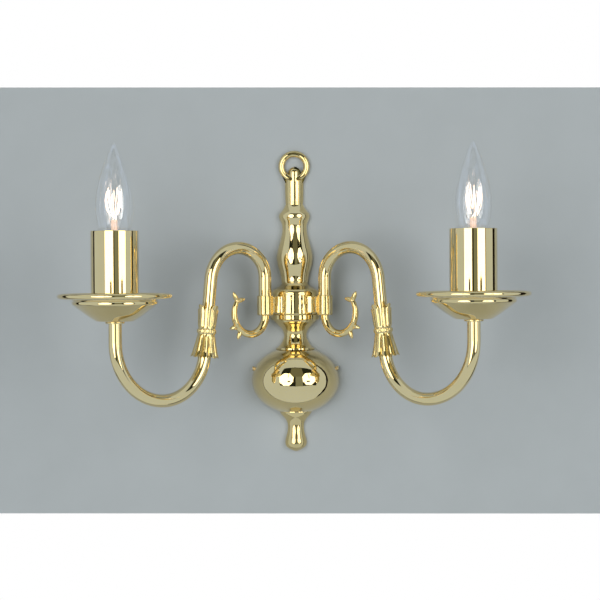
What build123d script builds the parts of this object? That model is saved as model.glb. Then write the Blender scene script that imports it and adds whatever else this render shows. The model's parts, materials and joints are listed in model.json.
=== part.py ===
"""Double arm wall sconce.

A half round brass body stands flat against the wall: a ring, a vase, a collar with two bosses, a waisted
neck, an oblate half ball and a finial, all drawn together by one tie rod. From each boss a bent tube arches
over, comes down through a cast leaf, swings round a wide bend and carries a drip pan, a candle sleeve and a
bayonet lampholder with its lamp. A steel strap on the wall holds the body by two small side screws.

Frame, in millimetres: the wall is the plane Y = 0 and the sconce stands in front of it at Y < 0, +Z is up,
+X is to the right of someone who faces the wall, and the origin is midway between the two wall screws.
"""

import os
from math import atan2, cos, degrees, pi, radians, sin

from build123d import *

os.makedirs("parts", exist_ok=True)

# ---------------------------------------------------------------- sizes: the stack of body castings
cut_margin = 1.0  # how far a cut runs past the face where it opens
casting_wall = 2.2
end_web = 2.4  # closed end of each hollow casting, where the next one seats
wire_bore_r = 6.6  # half round way for the rod and four wires

ball_radius = 38.25
ball_half_height = 29.4
ball_wall = 1.5
ball_centre_z = -10.4
ball_end = 26.6  # from the ball's centre to its flat top and bottom

neck_height = 25.4
neck_foot_r = 16.9
neck_waist_r = 9.8
neck_top_r = 19.0

collar_height = 32.0
collar_r = 20.8
collar_lip_r = 21.5
collar_lip_height = 5.2
collar_top_r = 11.3

vase_height = 67.4
vase_belly_r = 14.9
vase_throat_r = 9.6
vase_bead_r = 13.2
vase_top_r = 7.9

stem_r = 8.1
stem_foot_r = 7.7
stem_height = 24.5  # foot to the root of the ring
ring_radius = 10.85  # to the middle of the ring's section
ring_section_r = 2.8
ring_centre_height = 33.2  # above the stem's foot
nub_r = 5.4
nub_height = 33.0
saddle_radius = 12.8  # curve of the stem's top, about the ring's centre

finial_height = 35.3
finial_top_r = 14.1
finial_waist_r = 7.1
finial_bulb_r = 9.4

# ---------------------------------------------------------------- sizes: tie rod, bracket and terminals
rod_r = 2.0
rod_y = -3.8
rod_clearance = 0.2
rod_thread_length = 11.0
rod_end_chamfer = 0.4
thread_clearance = 0.05

strap_thickness = 1.5
strap_half_length = 29.5
strap_top = 5.5
strap_bottom = -6.0
wall_screw_spacing = 50.8
wall_screw_hole_r = 2.25
tab_thickness = 2.0
tab_outer_x = 31.2
tab_depth = 8.0
tab_top = 2.5
side_screw_y = -4.5
side_screw_r = 1.4
side_screw_clearance = 0.3
side_screw_head_r = 1.9
side_screw_head = 1.3
spot_face_x = 35.9

shelf_half_length = 19.0
shelf_depth = 18.0
shelf_z = -15.0  # top of the shelf that carries the terminal block
block_half_length = 20.5
block_height = 11.0
block_depth = 11.0
block_corner = 1.2
block_gap = 0.7  # from the rod to the back of the block
pole_x = (8.8, 17.1)
terminal_screw_r = 1.9
terminal_screw_depth = 4.0
terminal_screw_recess = 1.0
terminal_slot_width = 0.6
terminal_slot_depth = 0.8
block_screw_r = 1.5
block_screw_head_r = 2.8
block_screw_head = 1.8
earth_screw_x = 12.0
earth_screw_r = 2.0
earth_screw_head_r = 3.4
earth_screw_head = 2.4
earth_slot_width = 0.9
earth_slot_depth = 1.1

# ---------------------------------------------------------------- sizes: bosses, arms, leaves and scrolls
arm_angle = radians(40)  # between each arm and the wall
boss_reach = 33.4  # from the body's axis to each boss's axis
boss_r = 6.85
boss_bottom = 46.0
boss_top = 63.1
boss_floor = 3.5
boss_ledge = 1.2
boss_foot_round = 1.4
boss_top_chamfer = 0.5
lug_half_width = 5.4
lug_inset = 0.6  # how far the lug's flanks end inside the boss
lug_root_angle = radians(25)  # half the span that the lug's root takes of the band
lug_top = 62.0
lug_bottom = 48.4

tube_r = 5.5
tube_wall = 1.0
tube_fit = 0.05
tube_foot_z = 56.5
arm_reach = 155.7  # from the boss's axis to the pan's axis, along the arm
arch_radius = 22.0
arch_start_z = 78.7
crown_reach = 28.3
crown_z = 103.7
leg_tilt = radians(6.3)
bend_reach = 107.0
bend_z = -22.4
end_run = 15.7  # straight end of the tube under the pan

leaf_z = 33.8  # height of the leaf's waist on the leg
leaf_half_length = 22.0
leaf_waist_r = 8.1
leaf_throat_r = 7.1
leaf_cup_r = 9.4
leaf_bell_r = 11.6
leaf_lobes = 4
leaf_notch = 4.0

scroll_radii = (3.3, 3.5, 3.1, 2.7, 1.9)  # at equal steps from the root to the tip
scroll_inner_radius = 15.6
scroll_outer_radius = 18.0
scroll_turn = 125.0  # degrees of the outer arc
scroll_stud_r = 1.5
scroll_stud_length = 3.3
scroll_knuckle_r = 2.3
scroll_spur = 8.5
spur_root_r = 1.5
spur_half_width = 2.1
spur_tip_r = 0.5
scroll_leaves = ((1.0, 62), (1.0, 168), (0.3, -66), (0.42, -14))  # share of the outer arc, heading in degrees

# ---------------------------------------------------------------- sizes: pan, sleeve, holder and lamp
ring_thickness = 1.9
check_ring_r = 8.1
pan_rim_r = 47.0
pan_thickness = 1.2
pan_lip_r = 2.4
pan_rim_height = 20.4  # underside of the floor to the middle of the lip
pan_foot_r = 15.7
pan_seat_r = 20.0
pan_step_r = 34.6
pan_step_round = 0.8

sleeve_r = 19.5
sleeve_wall = 1.0
sleeve_length = 65.5
sleeve_seat = 7.5  # where the sleeve's foot meets the pan's cone, above the underside of the floor
sleeve_rest_gap = 0.3

nipple_r = 4.95
nipple_bore_r = 3.2
nipple_spigot = 10.0
nipple_thread = 8.0

holder_base_r = 9.0
holder_r = 14.4
holder_wall = 1.45
holder_base_height = 15.0
holder_spigot = 3.0
holder_throat = 2.0  # plain height above the nipple's end
holder_barrel = 41.0
holder_bore_r = 11.25
insulator_height = 17.4
plunger_r = 2.0
plunger_clearance = 0.06
plunger_spacing = 8.8
plunger_length = 8.0
plunger_round = 0.4
plunger_rise = 2.9  # shown above the insulator with a lamp in place
spring_wire = 0.45
spring_room = 4.0  # height left for the spring with the lamp pressed right down
spring_r = 1.7
contact_gap = 0.1

lamp_press_travel = 2.0
lamp_twist = 20.0
cap_r = 10.95
cap_wall = 0.5
cap_height = 25.0
cap_pin_height = 7.0
cap_pin_r = 1.0
cap_pin_reach = 13.2
slot_clearance = 0.12
slot_end_margin = 0.5  # degrees
vitrite_height = 2.4
contact_pad_r = 2.3
contact_pad_height = 0.8
contact_pad_round = 0.5

glass_r = 17.5
glass_wall = 0.6
glass_neck_r = 10.2
glass_length = 84.0  # from the foot of the neck, inside the cap, to the tip
glass_overlap = 4.4
stem_glass_r = 2.6
stem_glass_height = 21.0
filament_r = 0.35
filament_foot_r = 2.2
filament_top_r = 6.6
filament_height = 24.0
filament_hairpins = 4
lead_length = 3.0

wire_r = 0.9
wire_gap = 1.1  # from the arm's middle plane to each wire's centre
wire_channel_margin = 0.6
wire_drop_r = 5.4
wire_bend = 4.0
wire_level = 52.5
wire_knee_top = 12.0
wire_knee_foot = 1.0

# ---------------------------------------------------------------- places worked out from the sizes
ball_top_z = ball_centre_z + ball_end
ball_bottom_z = ball_centre_z - ball_end
collar_z = ball_top_z + neck_height
vase_z = collar_z + collar_height
stem_z = vase_z + vase_height

boss_x = boss_reach * cos(arm_angle)
boss_y = -boss_reach * sin(arm_angle)
pan_x = boss_x + arm_reach * cos(arm_angle)
pan_y = boss_y - arm_reach * sin(arm_angle)

bend_outer_radius = arm_reach - bend_reach
tube_top_z = bend_z + bend_outer_radius + end_run
pan_z = tube_top_z + ring_thickness
holder_z = pan_z + pan_thickness
barrel_z = holder_z + holder_base_height
insulator_z = barrel_z + holder_spigot
insulator_top = insulator_z + insulator_height
plunger_top = insulator_top + plunger_rise
lamp_z = plunger_top + contact_gap
pin_z = lamp_z + cap_pin_height
cap_z = lamp_z + contact_pad_height
glass_z = cap_z + cap_height - glass_overlap
sleeve_z = pan_z + sleeve_seat + sleeve_rest_gap
holder_mouth_z = barrel_z + holder_barrel

SIDES = {"left": -1, "right": 1}
AROUND_THE_FRONT = Axis((0, 0, 0), (0, 0, -1))  # half a turn about it sweeps the room side of the wall


def write(part, name):
    """Labels a finished piece and writes it to its own file."""
    part.label = name
    export_step(part, f"parts/{name}.step")


# ---------------------------------------------------------------- outlines
def draw_outline(stretches, foot, radius_inset=0.0):
    """Draws (radius, height) stretches above a foot: two points a line, three an arc, more a smooth curve."""
    for stretch in stretches:
        points = [(r - radius_inset, foot + h) for r, h in stretch]
        if len(points) == 2:
            Line(*points)
        elif len(points) == 3:
            ThreePointArc(*points)
        else:
            Spline(*points)


def half_section(stretches, foot, inset=0.0):
    """Section from the body's axis out to an outline, on the wall's plane."""
    first, last = stretches[0][0], stretches[-1][-1]
    with BuildSketch(Plane.XZ) as section:
        with BuildLine():
            draw_outline(stretches, foot, inset)
            if last[0] > inset:
                Line((last[0] - inset, foot + last[1]), (0, foot + last[1]))
            Line((0, foot + last[1]), (0, foot + first[1]))
            Line((0, foot + first[1]), (first[0] - inset, foot + first[1]))
        make_face()
    return section.sketch


def neck_outline():
    """Waisted spool between the half ball and the collar, with a small lip on its foot."""
    lip = 0.05 * neck_height
    return [
        [(neck_foot_r, 0), (neck_foot_r, lip)],
        [
            (neck_foot_r, lip),
            (0.81 * neck_foot_r, 0.15 * neck_height),
            (1.12 * neck_waist_r, 0.32 * neck_height),
            (neck_waist_r, 0.49 * neck_height),
            (1.15 * neck_waist_r, 0.66 * neck_height),
            (0.82 * neck_top_r, 0.84 * neck_height),
            (neck_top_r, neck_height),
        ],
    ]


def collar_outline():
    """Lip, plain band and a shoulder that draws in to the vase's foot."""
    round_edge = 0.17 * collar_lip_height
    groove_r = collar_r - 0.3 * (collar_lip_r - collar_r)
    band_foot = 1.15 * collar_lip_height
    band_top = 0.68 * collar_height
    return [
        [(collar_lip_r - round_edge, 0), (collar_lip_r, round_edge)],
        [(collar_lip_r, round_edge), (collar_lip_r, collar_lip_height - round_edge)],
        [(collar_lip_r, collar_lip_height - round_edge), (groove_r, collar_lip_height)],
        [(groove_r, collar_lip_height), (collar_r, band_foot)],
        [(collar_r, band_foot), (collar_r, band_top)],
        [
            (collar_r, band_top),
            (0.94 * collar_r, 0.81 * collar_height),
            (0.80 * collar_r, 0.87 * collar_height),
            (1.12 * collar_top_r, 0.945 * collar_height),
            (collar_top_r, collar_height),
        ],
    ]


def vase_outline():
    """Baluster belly, narrow throat, round bead and a short neck."""
    bead_foot = 0.755 * vase_height
    bead_top = 0.938 * vase_height
    bead_foot_r = 1.05 * vase_throat_r
    bead_top_r = 0.95 * vase_throat_r
    return [
        [
            (0.74 * vase_belly_r, 0),
            (0.75 * vase_belly_r, 0.045 * vase_height),
            (0.92 * vase_belly_r, 0.165 * vase_height),
            (vase_belly_r, 0.295 * vase_height),
            (0.89 * vase_belly_r, 0.488 * vase_height),
            (1.17 * vase_throat_r, 0.617 * vase_height),
            (vase_throat_r, 0.71 * vase_height),
            (bead_foot_r, bead_foot),
        ],
        [(bead_foot_r, bead_foot), (vase_bead_r, 0.47 * bead_foot + 0.53 * bead_top), (bead_top_r, bead_top)],
        [(bead_top_r, bead_top), (vase_top_r, vase_height)],
    ]


def finial_outline():
    """Flared seat, slim waist and a small bulb that closes at the bottom; heights run down from the ball."""
    return [
        [(finial_top_r, 0), (finial_top_r, -0.02 * finial_height)],
        [
            (finial_top_r, -0.02 * finial_height),
            (0.84 * finial_top_r, -0.12 * finial_height),
            (1.17 * finial_waist_r, -0.24 * finial_height),
            (finial_waist_r, -0.37 * finial_height),
            (1.04 * finial_waist_r, -0.49 * finial_height),
            (0.89 * finial_bulb_r, -0.61 * finial_height),
            (finial_bulb_r, -0.735 * finial_height),
            (0.93 * finial_bulb_r, -0.858 * finial_height),
            (0.65 * finial_bulb_r, -0.932 * finial_height),
            (0.0, -finial_height),
        ],
    ]


def rod_hole(low, high, radius):
    """Upright round hole on the tie rod's axis."""
    with BuildSketch(Plane.XY.offset(low)) as hole:
        with Locations((0, rod_y)):
            Circle(radius)
    extrude(hole.sketch, amount=high - low, mode=Mode.SUBTRACT)


def wire_way(low, high):
    """Round way on the body's axis; the castings keep its front half."""
    with BuildSketch(Plane.XY.offset(low)) as way:
        Circle(wire_bore_r)
    extrude(way.sketch, amount=high - low, mode=Mode.SUBTRACT)


def hollow(stretches, foot, height, wall):
    """Takes out the inside of a half round casting and leaves a web at each end."""
    with BuildSketch(Plane.XZ) as inside:
        add(half_section(stretches, foot, wall))
        with Locations((0, foot + height / 2)):
            Rectangle(4 * ball_radius, height - 2 * end_web, mode=Mode.INTERSECT)
    revolve(inside.sketch, axis=AROUND_THE_FRONT, revolution_arc=180, mode=Mode.SUBTRACT)


# ---------------------------------------------------------------- body castings
def make_ring_stem():
    """Flat backed top ring on a half round stem, with a domed nub standing in the ring."""
    ring_z = stem_z + ring_centre_height
    ring_middle_y = -0.85 * ring_section_r
    neck_top = stem_height - ring_section_r
    nub_shoulder = nub_height - nub_r
    dome = nub_r * cos(pi / 4)
    outline = [
        [(stem_foot_r, 0), (stem_r, stem_height / 2), (stem_r, neck_top)],
        [(stem_r, neck_top), (nub_r, stem_height)],
    ]
    nub_outline = [
        [(nub_r, neck_top - nub_r), (nub_r, nub_shoulder)],
        [(nub_r, nub_shoulder), (dome, nub_shoulder + dome), (0, nub_height)],
    ]
    cheek_depth = 1.5 * ring_section_r
    cheek_angle = radians(38)
    cheek_reach = ring_radius + 0.8 * ring_section_r
    cheek_x = cheek_reach * cos(cheek_angle)
    cheek_z = ring_z - cheek_reach * sin(cheek_angle)
    cheek_foot_x = 0.95 * stem_r
    cheek_foot_z = stem_z + neck_top - ring_section_r
    with BuildPart() as stem:
        with BuildSketch(Plane.XZ):
            add(half_section(outline, stem_z))
        revolve(axis=AROUND_THE_FRONT, revolution_arc=180)
        # the stem's top is a saddle in front of the cheeks, and the nub rises from it
        with BuildSketch(Plane.XZ.offset(cheek_depth)):
            with Locations((0, ring_z)):
                Circle(saddle_radius)
        extrude(amount=stem_r, mode=Mode.SUBTRACT)
        with BuildSketch(Plane.XZ) as nub:
            add(half_section(nub_outline, stem_z))
        revolve(nub.sketch, axis=AROUND_THE_FRONT, revolution_arc=180)
        # the stem's cheeks run up tangent to the ring
        with BuildSketch(Plane.XZ):
            Polygon(
                (-cheek_foot_x, cheek_foot_z),
                (cheek_foot_x, cheek_foot_z),
                (cheek_x, cheek_z),
                (-cheek_x, cheek_z),
                align=None,
            )
            with Locations((0, ring_z)):
                Circle(ring_radius, mode=Mode.SUBTRACT)
        extrude(amount=cheek_depth)
        with BuildSketch(Plane.XY.offset(ring_z)):
            with Locations((ring_radius, ring_middle_y)):
                Circle(ring_section_r)
            with Locations((ring_radius, 0)):
                front_half = (Align.CENTER, Align.MAX)
                Rectangle(4 * ring_section_r, 4 * ring_section_r, align=front_half, mode=Mode.INTERSECT)
        revolve(axis=Axis((0, 0, ring_z), (0, -1, 0)))
        rod_hole(stem_z, stem_z + rod_thread_length + cut_margin, rod_r + thread_clearance)
    write(stem.part, "ring_stem")


def make_vase():
    """Hollow half round vase with its bead."""
    with BuildPart() as vase:
        with BuildSketch(Plane.XZ):
            add(half_section(vase_outline(), vase_z))
        revolve(axis=AROUND_THE_FRONT, revolution_arc=180)
        hollow(vase_outline(), vase_z, vase_height, casting_wall)
        rod_hole(vase_z, stem_z, rod_r + rod_clearance)
    write(vase.part, "vase")


def arm_plane(side):
    """Upright plane of one arm: local x runs out along the arm from the boss's axis, local y is up."""
    along = Vector(side * cos(arm_angle), -sin(arm_angle), 0)
    return Plane(origin=(side * boss_x, boss_y, 0), x_dir=along, z_dir=along.cross(Vector(0, 0, 1)))


def boss_level(side, height):
    """Level plane on one boss's axis with local x out along the arm."""
    along = (side * cos(arm_angle), -sin(arm_angle), 0)
    return Plane(origin=(side * boss_x, boss_y, height), x_dir=along, z_dir=(0, 0, 1))


def make_arm_collar():
    """Hollow half round collar whose two hollow lugs end in the bosses that hold the arms."""
    band_edge = collar_r - 0.3 * casting_wall
    lug_root = -boss_reach + cos(lug_root_angle) * band_edge
    lug_root_half = sin(lug_root_angle) * band_edge
    lug_end_half = boss_r - lug_inset
    with BuildPart() as collar:
        with BuildSketch(Plane.XZ):
            add(half_section(collar_outline(), collar_z))
        revolve(axis=AROUND_THE_FRONT, revolution_arc=180)
        for side in SIDES.values():
            with BuildSketch(boss_level(side, lug_bottom)):
                with BuildLine():
                    for edge in (1, -1):
                        ThreePointArc(
                            (lug_root, edge * lug_root_half),
                            (0.55 * lug_root, edge * lug_half_width),
                            (0, edge * lug_end_half),
                        )
                    Line((lug_root, lug_root_half), (lug_root, -lug_root_half))
                    Line((0, lug_end_half), (0, -lug_end_half))
                make_face()
            extrude(amount=lug_top - lug_bottom)
            with BuildSketch(boss_level(side, boss_bottom)):
                Circle(boss_r)
            extrude(amount=boss_top - boss_bottom)
        rims = collar.edges().filter_by(GeomType.CIRCLE).filter_by(lambda e: abs(e.radius - boss_r) < 0.01)
        fillet(rims.group_by(Axis.Z)[0], radius=boss_foot_round)
        chamfer(rims.group_by(Axis.Z)[-1], length=boss_top_chamfer)
        hollow(collar_outline(), collar_z, collar_height, casting_wall)
        wire_way(collar_z, collar_z + end_web)
        rod_hole(collar_z, vase_z, rod_r + rod_clearance)
        for side in SIDES.values():
            with BuildSketch(boss_level(side, tube_foot_z)):
                Circle(tube_r + tube_fit)
            extrude(amount=boss_top - tube_foot_z, mode=Mode.SUBTRACT)
            with BuildSketch(boss_level(side, boss_bottom + boss_floor)):
                Circle(tube_r - boss_ledge)
            extrude(amount=tube_foot_z - boss_bottom - boss_floor, mode=Mode.SUBTRACT)
            with BuildSketch(boss_level(side, boss_bottom)):
                Circle(scroll_stud_r + thread_clearance)
            extrude(amount=boss_floor, mode=Mode.SUBTRACT)
            channel = 2 * (wire_gap + wire_r + wire_channel_margin)
            with BuildSketch(boss_level(side, wire_level - channel / 2)):
                with Locations((lug_root / 2 - casting_wall, 0)):
                    Rectangle(abs(lug_root) + casting_wall, channel)
            extrude(amount=channel, mode=Mode.SUBTRACT)
    write(collar.part, "arm_collar")


def make_lower_neck():
    """Hollow half round spool between the collar and the half ball."""
    with BuildPart() as neck:
        with BuildSketch(Plane.XZ):
            add(half_section(neck_outline(), ball_top_z))
        revolve(axis=AROUND_THE_FRONT, revolution_arc=180)
        hollow(neck_outline(), ball_top_z, neck_height, casting_wall)
        wire_way(ball_top_z, collar_z)
    write(neck.part, "lower_neck")


def ball_section(radius, half_height, end):
    """Half of an oblate oval about the body's axis, cut flat above and below."""
    with BuildSketch(Plane.XZ) as section:
        with Locations((0, ball_centre_z)):
            Ellipse(radius, half_height)
            Rectangle(radius, 2 * end, align=(Align.MIN, Align.CENTER), mode=Mode.INTERSECT)
    return section.sketch


def make_half_ball():
    """Oblate half ball, open towards the wall, with a spot face for each side screw."""
    with BuildPart() as ball:
        with BuildSketch(Plane.XZ):
            add(ball_section(ball_radius, ball_half_height, ball_end))
        revolve(axis=AROUND_THE_FRONT, revolution_arc=180)
        with BuildSketch(Plane.XZ) as inside:
            add(ball_section(ball_radius - ball_wall, ball_half_height - ball_wall, ball_end - ball_wall))
        revolve(inside.sketch, axis=AROUND_THE_FRONT, revolution_arc=180, mode=Mode.SUBTRACT)
        wire_way(ball_top_z - 2 * ball_wall, ball_top_z)
        rod_hole(ball_bottom_z, ball_bottom_z + 2 * ball_wall, rod_r + rod_clearance)
        for side in SIDES.values():
            facing = Plane(origin=(0, side_screw_y, 0), x_dir=(0, 1, 0), z_dir=(side, 0, 0))
            with BuildSketch(facing.offset(tab_outer_x)):
                Circle(side_screw_r + side_screw_clearance)
            extrude(amount=ball_radius - tab_outer_x, mode=Mode.SUBTRACT)
            with BuildSketch(facing.offset(spot_face_x)):
                Circle(side_screw_head_r + side_screw_clearance)
            extrude(amount=ball_radius - spot_face_x, mode=Mode.SUBTRACT)
    write(ball.part, "half_ball")


def make_finial():
    """Solid half round bottom finial, threaded onto the tie rod."""
    with BuildPart() as finial:
        with BuildSketch(Plane.XZ):
            with BuildLine():
                draw_outline(finial_outline(), ball_bottom_z)
                Line((0, ball_bottom_z - finial_height), (0, ball_bottom_z))
                Line((0, ball_bottom_z), (finial_top_r, ball_bottom_z))
            make_face()
        revolve(axis=AROUND_THE_FRONT, revolution_arc=180)
        rod_hole(ball_bottom_z - rod_thread_length - cut_margin, ball_bottom_z, rod_r + thread_clearance)
    write(finial.part, "bottom_finial")


def make_tie_rod():
    """Threaded rod that draws the castings together from the finial to the stem."""
    foot = ball_bottom_z - rod_thread_length
    with BuildPart() as rod:
        with BuildSketch(Plane.XY.offset(foot)):
            with Locations((0, rod_y)):
                Circle(rod_r)
        extrude(amount=stem_z + rod_thread_length - foot)
        chamfer(rod.edges().filter_by(GeomType.CIRCLE), length=rod_end_chamfer)
    write(rod.part, "tie_rod")


# ---------------------------------------------------------------- bracket, screws and terminals
def make_wall_bracket():
    """Steel strap on the wall, with tapped end tabs and a folded shelf for the terminal block."""
    with BuildPart() as bracket:
        with BuildSketch(Plane.XZ):
            with Locations((0, (strap_top + strap_bottom) / 2)):
                Rectangle(2 * strap_half_length, strap_top - strap_bottom)
            shelf_foot = shelf_z - strap_thickness
            with Locations((0, (strap_bottom + shelf_foot) / 2)):
                Rectangle(2 * shelf_half_length, strap_bottom - shelf_foot)
        extrude(amount=strap_thickness)
        with BuildSketch(Plane.XY.offset(shelf_foot)):
            with Locations((0, -shelf_depth / 2)):
                Rectangle(2 * shelf_half_length, shelf_depth)
            with Locations((0, rod_y)):
                Circle(rod_r + 3 * rod_clearance, mode=Mode.SUBTRACT)
        extrude(amount=strap_thickness)
        for side in SIDES.values():
            tab_middle = side * (tab_outer_x - tab_thickness / 2)
            with BuildSketch(Plane.XZ):
                with Locations((tab_middle, (tab_top + strap_bottom) / 2)):
                    Rectangle(tab_thickness, tab_top - strap_bottom)
            extrude(amount=tab_depth)
            outward = Plane(origin=(0, side_screw_y, 0), x_dir=(0, 1, 0), z_dir=(side, 0, 0))
            with BuildSketch(outward.offset(tab_outer_x - tab_thickness)):
                Circle(side_screw_r + thread_clearance)
            extrude(amount=tab_thickness, mode=Mode.SUBTRACT)
        with BuildSketch(Plane.XZ):
            with Locations((-wall_screw_spacing / 2, 0), (wall_screw_spacing / 2, 0)):
                Circle(wall_screw_hole_r)
            with Locations((earth_screw_x, 0)):
                Circle(earth_screw_r + thread_clearance)
        extrude(amount=strap_thickness, mode=Mode.SUBTRACT)
        block_screw_y = rod_y - rod_r - block_gap - block_depth / 2
        with BuildSketch(Plane.XY.offset(shelf_foot)):
            with Locations((0, block_screw_y)):
                Circle(block_screw_r + thread_clearance)
        extrude(amount=strap_thickness, mode=Mode.SUBTRACT)
    write(bracket.part, "wall_bracket")


def make_side_screws():
    """Two small round headed screws that hold the half ball to the bracket's tabs."""
    with BuildPart() as screws:
        for side in SIDES.values():
            outward = Plane(origin=(0, side_screw_y, 0), x_dir=(0, 1, 0), z_dir=(side, 0, 0))
            with BuildSketch(outward.offset(tab_outer_x - tab_thickness)):
                Circle(side_screw_r)
            extrude(amount=spot_face_x - tab_outer_x + tab_thickness)
            with BuildSketch(outward.offset(spot_face_x)):
                Circle(side_screw_head_r)
            extrude(amount=side_screw_head)
        heads = screws.edges().filter_by(GeomType.CIRCLE).group_by(lambda e: abs(e.center().X))[-1]
        fillet(heads, radius=0.45 * side_screw_head)
    write(screws.part, "body_side_screws")


def make_terminal_block():
    """Moulded four way terminal block with a screw well at each pole and a wire entry on top."""
    back = rod_y - rod_r - block_gap
    middle_y = back - block_depth / 2
    poles = [side * x for side in (-1, 1) for x in pole_x]
    with BuildPart() as block:
        with BuildSketch(Plane.XY.offset(shelf_z)):
            with Locations((0, middle_y)):
                RectangleRounded(2 * block_half_length, block_depth, block_corner)
        extrude(amount=block_height)
        with BuildSketch(Plane.XY.offset(shelf_z)):
            with Locations((0, middle_y)):
                Circle(block_screw_r + rod_clearance)
        extrude(amount=block_height, mode=Mode.SUBTRACT)
        with BuildSketch(Plane.XZ.offset(block_depth - back)):
            with Locations(*[(x, shelf_z + block_height / 2) for x in poles]):
                Circle(terminal_screw_r + thread_clearance)
        extrude(amount=-terminal_screw_depth - terminal_screw_recess, mode=Mode.SUBTRACT)
    write(block.part, "terminal_block")
    with BuildPart() as screws:
        with BuildSketch(Plane.XZ.offset(block_depth - back - terminal_screw_recess)):
            with Locations(*[(x, shelf_z + block_height / 2) for x in poles]):
                Circle(terminal_screw_r)
        extrude(amount=-terminal_screw_depth)
        with BuildSketch(Plane.XZ.offset(block_depth - back - terminal_screw_recess)):
            with Locations(*[(x, shelf_z + block_height / 2) for x in poles]):
                Rectangle(2 * terminal_screw_r, terminal_slot_width)
        extrude(amount=-terminal_slot_depth, mode=Mode.SUBTRACT)
    write(screws.part, "terminal_screws")
    with BuildPart() as screw:
        with BuildSketch(Plane.XY.offset(shelf_z - strap_thickness)):
            with Locations((0, middle_y)):
                Circle(block_screw_r)
        extrude(amount=block_height + strap_thickness)
        with BuildSketch(Plane.XY.offset(shelf_z + block_height)):
            with Locations((0, middle_y)):
                Circle(block_screw_head_r)
        extrude(amount=block_screw_head)
    write(screw.part, "terminal_block_screw")


def make_earth_screw():
    """Earth terminal screw in the bracket."""
    with BuildPart() as screw:
        with BuildSketch(Plane.XZ):
            with Locations((earth_screw_x, 0)):
                Circle(earth_screw_r)
        extrude(amount=strap_thickness)
        with BuildSketch(Plane.XZ.offset(strap_thickness)):
            with Locations((earth_screw_x, 0)):
                Circle(earth_screw_head_r)
        extrude(amount=earth_screw_head)
        with BuildSketch(Plane.XZ.offset(strap_thickness + earth_screw_head)):
            with Locations((earth_screw_x, 0)):
                Rectangle(2 * earth_screw_head_r, earth_slot_width)
        extrude(amount=-earth_slot_depth, mode=Mode.SUBTRACT)
    write(screw.part, "earth_screw")


# ---------------------------------------------------------------- arms
def crown_circle():
    """Centre and radius of the arc over the crown, tangent to the arch's first arc."""
    rise = crown_z - arch_start_z
    offset = crown_reach - arch_radius
    radius = (offset**2 + rise**2 - arch_radius**2) / (2 * (rise - arch_radius))
    return (crown_reach, crown_z - radius), radius


def inner_bend_circle():
    """Centre and radius of the wide bend's first arc, tangent to the tilted leg and level at the bottom."""
    (cu, cz), radius = crown_circle()
    leg_u = cu + radius * cos(leg_tilt)
    leg_z = cz + radius * sin(leg_tilt)
    reach = (bend_reach - leg_u) * cos(leg_tilt) + (bend_z - leg_z) * sin(leg_tilt)
    bend_radius = reach / (1 - sin(leg_tilt))
    return (bend_reach, bend_z + bend_radius), bend_radius


def draw_arm_bends(top):
    """Arm's line from the start of the arch to its top end, in the arm's plane."""
    crown, crown_radius = crown_circle()
    touch = degrees(atan2(arch_start_z - crown[1], arch_radius - crown[0]))
    tilt = degrees(leg_tilt)
    CenterArc((arch_radius, arch_start_z), arch_radius, 180, touch - 180)
    over = CenterArc(crown, crown_radius, touch, tilt - touch)
    bend, bend_radius = inner_bend_circle()
    down = CenterArc(bend, bend_radius, 180 + tilt, 90 - tilt)
    Line(over @ 1, down @ 0)
    CenterArc((bend_reach, bend_z + bend_outer_radius), bend_outer_radius, 270, 90)
    Line((arm_reach, bend_z + bend_outer_radius), (arm_reach, top))


def make_arm_tube(side, name):
    """Bent brass tube from the boss to the pan."""
    with BuildPart() as tube:
        with BuildLine(arm_plane(side)) as path:
            Line((0, tube_foot_z), (0, arch_start_z))
            draw_arm_bends(tube_top_z)
        with BuildSketch(boss_level(side, tube_foot_z)):
            Circle(tube_r)
            Circle(tube_r - tube_wall, mode=Mode.SUBTRACT)
        sweep(path=path.wire())
    write(tube.part, f"{name}_arm_tube")


def make_arm_wires(side, name):
    """Two wires from the terminal block up the neck, through the lug and along the tube to the holder."""
    block_top = shelf_z + block_height
    with BuildPart() as wires:
        for edge, x in zip((-1, 1), pole_x):
            shift = edge * wire_gap
            pole_reach = (x - edge * wire_gap * sin(arm_angle) - boss_x) / cos(arm_angle)
            with BuildLine(arm_plane(side).offset(-side * shift)) as path:
                FilletPolyline(
                    (pole_reach, block_top),
                    (pole_reach, wire_knee_foot),
                    (wire_drop_r - boss_reach, wire_knee_top),
                    (wire_drop_r - boss_reach, wire_level),
                    (0, wire_level),
                    (0, arch_start_z),
                    radius=wire_bend,
                )
                draw_arm_bends(insulator_z)
            line = path.wire()
            with BuildSketch(Plane(origin=line @ 0, z_dir=(0, 0, 1))):
                Circle(wire_r)
            sweep(path=line)
    write(wires.part, f"{name}_arm_wires")


def lobed(radius, valley):
    """Closed outline of equal lobes, deep between the leaves and shallow along each leaf's middle."""
    count = 2 * leaf_lobes
    with BuildSketch(mode=Mode.PRIVATE) as face:
        with BuildLine():
            corners = []
            for i in range(count):
                depth = valley if i % 2 == 0 else (valley + 2 * radius) / 3
                angle = 2 * pi * i / count
                corners.append((depth * cos(angle), depth * sin(angle)))
            for i in range(count):
                angle = 2 * pi * (i + 0.5) / count
                crest = (radius * cos(angle), radius * sin(angle))
                ThreePointArc(corners[i], crest, corners[(i + 1) % count])
        make_face()
    return face.sketch


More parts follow.
